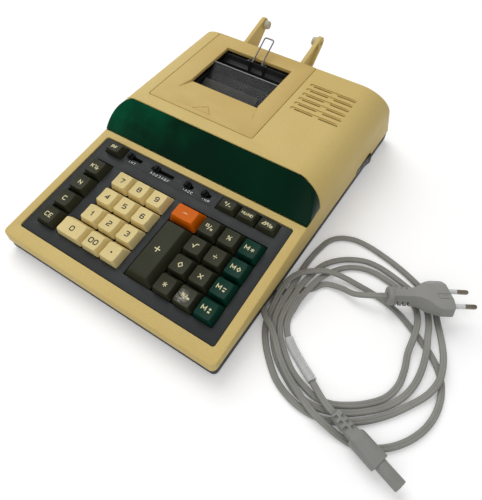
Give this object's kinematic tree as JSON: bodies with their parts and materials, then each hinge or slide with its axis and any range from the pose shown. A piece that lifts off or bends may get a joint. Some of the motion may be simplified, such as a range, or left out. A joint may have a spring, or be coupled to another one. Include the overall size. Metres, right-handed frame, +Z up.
{
  "type": "calculating machine",
  "caption": "Desktop calculating machine with a sloping keyboard, a wrapped dark green display window, a paper-roll printer under a cover, and a loose looped mains lead.",
  "frame": {"origin": "on the table, under the middle of the machine's outline; the power switch stands out 3 mm to the right and the free lead is left out of that outline", "axes": "+X to the right along the front edge, +Y from the front edge to the back, +Z up"},
  "size_m": [0.3594, 0.327, 0.0907],
  "materials": {
    "beige_shell": "fine matt moulded plastic",
    "tan_cover": "fine matt moulded plastic, a little darker than the case",
    "dark_base": "matt moulded plastic",
    "panel_grey": "fine grained matt plastic",
    "ivory_key": "satin moulded plastic",
    "olive_key": "satin moulded plastic",
    "orange_key": "satin moulded plastic",
    "green_key": "satin moulded plastic",
    "black_plastic": "satin moulded plastic",
    "window_green": "polished deep green acrylic",
    "clear_plastic": "clear moulded plastic",
    "steel": "bright drawn wire",
    "rubber": "matt ground rubber",
    "off_white": "satin moulded plastic",
    "cord_grey": "satin flexible sheath",
    "plug_grey": "satin moulded plastic",
    "board_green": "lacquered circuit board",
    "core_steel": "varnished laminated steel"
  },
  "bodies": {
    "machine": {"top_case": "beige_shell", "base_pan": "dark_base", "key_panel": "panel_grey", "key_guide": "black_plastic", "display_window": "window_green", "tear_bar": "clear_plastic", "printer_frame": "black_plastic", "mains_inlet": "black_plastic", "main_board": "board_green", "mains_transformer": "core_steel", "mains_plug": "plug_grey", "cord_connector": "plug_grey", "power_cord": "cord_grey"},
    "key_feed": {"key_feed": "olive_key"},
    "key_constant": {"key_constant": "olive_key"},
    "key_count": {"key_count": "olive_key"},
    "key_clear": {"key_clear": "olive_key"},
    "key_clear_entry": {"key_clear_entry": "olive_key"},
    "key_7": {"key_7": "ivory_key"},
    "key_8": {"key_8": "ivory_key"},
    "key_9": {"key_9": "ivory_key"},
    "key_4": {"key_4": "ivory_key"},
    "key_5": {"key_5": "ivory_key"},
    "key_6": {"key_6": "ivory_key"},
    "key_1": {"key_1": "ivory_key"},
    "key_2": {"key_2": "ivory_key"},
    "key_3": {"key_3": "ivory_key"},
    "key_0": {"key_0": "ivory_key"},
    "key_00": {"key_00": "ivory_key"},
    "key_point": {"key_point": "ivory_key"},
    "key_minus": {"key_minus": "orange_key"},
    "key_plus": {"key_plus": "olive_key"},
    "key_subtotal": {"key_subtotal": "olive_key"},
    "key_percent": {"key_percent": "olive_key"},
    "key_memory_total": {"key_memory_total": "green_key"},
    "key_root": {"key_root": "olive_key"},
    "key_divide": {"key_divide": "olive_key"},
    "key_memory_subtotal": {"key_memory_subtotal": "green_key"},
    "key_diamond": {"key_diamond": "olive_key"},
    "key_multiply": {"key_multiply": "olive_key"},
    "key_memory_minus": {"key_memory_minus": "green_key"},
    "key_total": {"key_total": "olive_key"},
    "key_percent_equals": {"key_percent_equals": "olive_key"},
    "key_memory_plus": {"key_memory_plus": "green_key"},
    "key_sign": {"key_sign": "olive_key"},
    "key_markup": {"key_markup": "olive_key"},
    "key_change": {"key_change": "olive_key"},
    "slide_switch_1": {"slide_switch_1": "black_plastic"},
    "slide_switch_2": {"slide_switch_2": "black_plastic"},
    "slide_switch_3": {"slide_switch_3": "black_plastic"},
    "slide_switch_4": {"slide_switch_4": "black_plastic"},
    "printer_cover": {"printer_cover": "tan_cover"},
    "platen_roller": {"platen_roller": "rubber"},
    "print_drum": {"print_drum": "core_steel"},
    "paper_bail": {"paper_bail": "steel"},
    "paper_arm_left": {"paper_arm_left": "beige_shell"},
    "paper_arm_right": {"paper_arm_right": "beige_shell"},
    "arm_peg_left": {"arm_peg_left": "off_white"},
    "arm_peg_right": {"arm_peg_right": "off_white"},
    "power_rocker": {"power_rocker": "black_plastic"}
  },
  "joints": [
    {"name": "key_feed_press", "type": "slide", "parent": "machine", "child": "key_feed", "axis": [0, 0.1504, -0.9886], "range_m": [0, 0.0035], "stiffness_N_per_m": 90, "springref_m": -0.004},
    {"name": "key_constant_press", "type": "slide", "parent": "machine", "child": "key_constant", "axis": [0, 0.1504, -0.9886], "range_m": [0, 0.0035], "stiffness_N_per_m": 90, "springref_m": -0.004},
    {"name": "key_count_press", "type": "slide", "parent": "machine", "child": "key_count", "axis": [0, 0.1504, -0.9886], "range_m": [0, 0.0035], "stiffness_N_per_m": 90, "springref_m": -0.004},
    {"name": "key_clear_press", "type": "slide", "parent": "machine", "child": "key_clear", "axis": [0, 0.1504, -0.9886], "range_m": [0, 0.0035], "stiffness_N_per_m": 90, "springref_m": -0.004},
    {"name": "key_clear_entry_press", "type": "slide", "parent": "machine", "child": "key_clear_entry", "axis": [0, 0.1504, -0.9886], "range_m": [0, 0.0035], "stiffness_N_per_m": 90, "springref_m": -0.004},
    {"name": "key_7_press", "type": "slide", "parent": "machine", "child": "key_7", "axis": [0, 0.1504, -0.9886], "range_m": [0, 0.0035], "stiffness_N_per_m": 90, "springref_m": -0.004},
    {"name": "key_8_press", "type": "slide", "parent": "machine", "child": "key_8", "axis": [0, 0.1504, -0.9886], "range_m": [0, 0.0035], "stiffness_N_per_m": 90, "springref_m": -0.004},
    {"name": "key_9_press", "type": "slide", "parent": "machine", "child": "key_9", "axis": [0, 0.1504, -0.9886], "range_m": [0, 0.0035], "stiffness_N_per_m": 90, "springref_m": -0.004},
    {"name": "key_4_press", "type": "slide", "parent": "machine", "child": "key_4", "axis": [0, 0.1504, -0.9886], "range_m": [0, 0.0035], "stiffness_N_per_m": 90, "springref_m": -0.004},
    {"name": "key_5_press", "type": "slide", "parent": "machine", "child": "key_5", "axis": [0, 0.1504, -0.9886], "range_m": [0, 0.0035], "stiffness_N_per_m": 90, "springref_m": -0.004},
    {"name": "key_6_press", "type": "slide", "parent": "machine", "child": "key_6", "axis": [0, 0.1504, -0.9886], "range_m": [0, 0.0035], "stiffness_N_per_m": 90, "springref_m": -0.004},
    {"name": "key_1_press", "type": "slide", "parent": "machine", "child": "key_1", "axis": [0, 0.1504, -0.9886], "range_m": [0, 0.0035], "stiffness_N_per_m": 90, "springref_m": -0.004},
    {"name": "key_2_press", "type": "slide", "parent": "machine", "child": "key_2", "axis": [0, 0.1504, -0.9886], "range_m": [0, 0.0035], "stiffness_N_per_m": 90, "springref_m": -0.004},
    {"name": "key_3_press", "type": "slide", "parent": "machine", "child": "key_3", "axis": [0, 0.1504, -0.9886], "range_m": [0, 0.0035], "stiffness_N_per_m": 90, "springref_m": -0.004},
    {"name": "key_0_press", "type": "slide", "parent": "machine", "child": "key_0", "axis": [0, 0.1504, -0.9886], "range_m": [0, 0.0035], "stiffness_N_per_m": 90, "springref_m": -0.004},
    {"name": "key_00_press", "type": "slide", "parent": "machine", "child": "key_00", "axis": [0, 0.1504, -0.9886], "range_m": [0, 0.0035], "stiffness_N_per_m": 90, "springref_m": -0.004},
    {"name": "key_point_press", "type": "slide", "parent": "machine", "child": "key_point", "axis": [0, 0.1504, -0.9886], "range_m": [0, 0.0035], "stiffness_N_per_m": 90, "springref_m": -0.004},
    {"name": "key_minus_press", "type": "slide", "parent": "machine", "child": "key_minus", "axis": [0, 0.1504, -0.9886], "range_m": [0, 0.0035], "stiffness_N_per_m": 90, "springref_m": -0.004},
    {"name": "key_plus_press", "type": "slide", "parent": "machine", "child": "key_plus", "axis": [0, 0.1504, -0.9886], "range_m": [0, 0.0035], "stiffness_N_per_m": 90, "springref_m": -0.004},
    {"name": "key_subtotal_press", "type": "slide", "parent": "machine", "child": "key_subtotal", "axis": [0, 0.1504, -0.9886], "range_m": [0, 0.0035], "stiffness_N_per_m": 90, "springref_m": -0.004},
    {"name": "key_percent_press", "type": "slide", "parent": "machine", "child": "key_percent", "axis": [0, 0.1504, -0.9886], "range_m": [0, 0.0035], "stiffness_N_per_m": 90, "springref_m": -0.004},
    {"name": "key_memory_total_press", "type": "slide", "parent": "machine", "child": "key_memory_total", "axis": [0, 0.1504, -0.9886], "range_m": [0, 0.0035], "stiffness_N_per_m": 90, "springref_m": -0.004},
    {"name": "key_root_press", "type": "slide", "parent": "machine", "child": "key_root", "axis": [0, 0.1504, -0.9886], "range_m": [0, 0.0035], "stiffness_N_per_m": 90, "springref_m": -0.004},
    {"name": "key_divide_press", "type": "slide", "parent": "machine", "child": "key_divide", "axis": [0, 0.1504, -0.9886], "range_m": [0, 0.0035], "stiffness_N_per_m": 90, "springref_m": -0.004},
    {"name": "key_memory_subtotal_press", "type": "slide", "parent": "machine", "child": "key_memory_subtotal", "axis": [0, 0.1504, -0.9886], "range_m": [0, 0.0035], "stiffness_N_per_m": 90, "springref_m": -0.004},
    {"name": "key_diamond_press", "type": "slide", "parent": "machine", "child": "key_diamond", "axis": [0, 0.1504, -0.9886], "range_m": [0, 0.0035], "stiffness_N_per_m": 90, "springref_m": -0.004},
    {"name": "key_multiply_press", "type": "slide", "parent": "machine", "child": "key_multiply", "axis": [0, 0.1504, -0.9886], "range_m": [0, 0.0035], "stiffness_N_per_m": 90, "springref_m": -0.004},
    {"name": "key_memory_minus_press", "type": "slide", "parent": "machine", "child": "key_memory_minus", "axis": [0, 0.1504, -0.9886], "range_m": [0, 0.0035], "stiffness_N_per_m": 90, "springref_m": -0.004},
    {"name": "key_total_press", "type": "slide", "parent": "machine", "child": "key_total", "axis": [0, 0.1504, -0.9886], "range_m": [0, 0.0035], "stiffness_N_per_m": 90, "springref_m": -0.004},
    {"name": "key_percent_equals_press", "type": "slide", "parent": "machine", "child": "key_percent_equals", "axis": [0, 0.1504, -0.9886], "range_m": [0, 0.0035], "stiffness_N_per_m": 90, "springref_m": -0.004},
    {"name": "key_memory_plus_press", "type": "slide", "parent": "machine", "child": "key_memory_plus", "axis": [0, 0.1504, -0.9886], "range_m": [0, 0.0035], "stiffness_N_per_m": 90, "springref_m": -0.004},
    {"name": "key_sign_press", "type": "slide", "parent": "machine", "child": "key_sign", "axis": [0, 0.1504, -0.9886], "range_m": [0, 0.0035], "stiffness_N_per_m": 90, "springref_m": -0.004},
    {"name": "key_markup_press", "type": "slide", "parent": "machine", "child": "key_markup", "axis": [0, 0.1504, -0.9886], "range_m": [0, 0.0035], "stiffness_N_per_m": 90, "springref_m": -0.004},
    {"name": "key_change_press", "type": "slide", "parent": "machine", "child": "key_change", "axis": [0, 0.1504, -0.9886], "range_m": [0, 0.0035], "stiffness_N_per_m": 90, "springref_m": -0.004},
    {"name": "slide_switch_1_slide", "type": "slide", "parent": "machine", "child": "slide_switch_1", "axis": [1, 0, 0], "range_m": [-0.0015, 0.0099]},
    {"name": "slide_switch_2_slide", "type": "slide", "parent": "machine", "child": "slide_switch_2", "axis": [1, 0, 0], "range_m": [-0.0036, 0.016]},
    {"name": "slide_switch_3_slide", "type": "slide", "parent": "machine", "child": "slide_switch_3", "axis": [1, 0, 0], "range_m": [-0.0019, 0.0031]},
    {"name": "slide_switch_4_slide", "type": "slide", "parent": "machine", "child": "slide_switch_4", "axis": [1, 0, 0], "range_m": [-0.0014, 0.0035]},
    {"name": "cover_slide", "type": "slide", "parent": "machine", "child": "printer_cover", "axis": [0, 0.9987, 0.0501], "range_m": [0, 0.006]},
    {"name": "roller_turn", "type": "hinge", "parent": "machine", "child": "platen_roller", "pos_m": [-0.0215, 0.0775, 0.05], "axis": [1, 0, 0], "continuous": true},
    {"name": "drum_turn", "type": "hinge", "parent": "machine", "child": "print_drum", "pos_m": [-0.0215, 0.0555, 0.035], "axis": [1, 0, 0], "continuous": true},
    {"name": "bail_swing", "type": "hinge", "parent": "machine", "child": "paper_bail", "pos_m": [-0.0206, 0.094, 0.0752], "axis": [1, 0, 0], "range_deg": [0, 80]},
    {"name": "arm_left_spread", "type": "hinge", "parent": "machine", "child": "paper_arm_left", "pos_m": [-0.054, 0.12687, 0.06175], "axis": [0, -0.5249, 0.8512], "range_deg": [0, 6], "stiffness_Nm_per_rad": 0.6, "springref_deg": -5.73},
    {"name": "arm_right_spread", "type": "hinge", "parent": "machine", "child": "paper_arm_right", "pos_m": [0.0162, 0.12687, 0.06175], "axis": [0, 0.5249, -0.8512], "range_deg": [0, 6], "stiffness_Nm_per_rad": 0.6, "springref_deg": -5.73},
    {"name": "peg_left_turn", "type": "hinge", "parent": "paper_arm_left", "child": "arm_peg_left", "pos_m": [-0.0467, 0.1565, 0.079], "axis": [1, 0, 0], "continuous": true},
    {"name": "peg_right_turn", "type": "hinge", "parent": "paper_arm_right", "child": "arm_peg_right", "pos_m": [0.0089, 0.1565, 0.079], "axis": [1, 0, 0], "continuous": true},
    {"name": "power_rock", "type": "hinge", "parent": "machine", "child": "power_rocker", "pos_m": [0.1045, 0.0905, 0.0136], "axis": [0, 0, 1], "range_deg": [0, 11.5]}
  ]
}
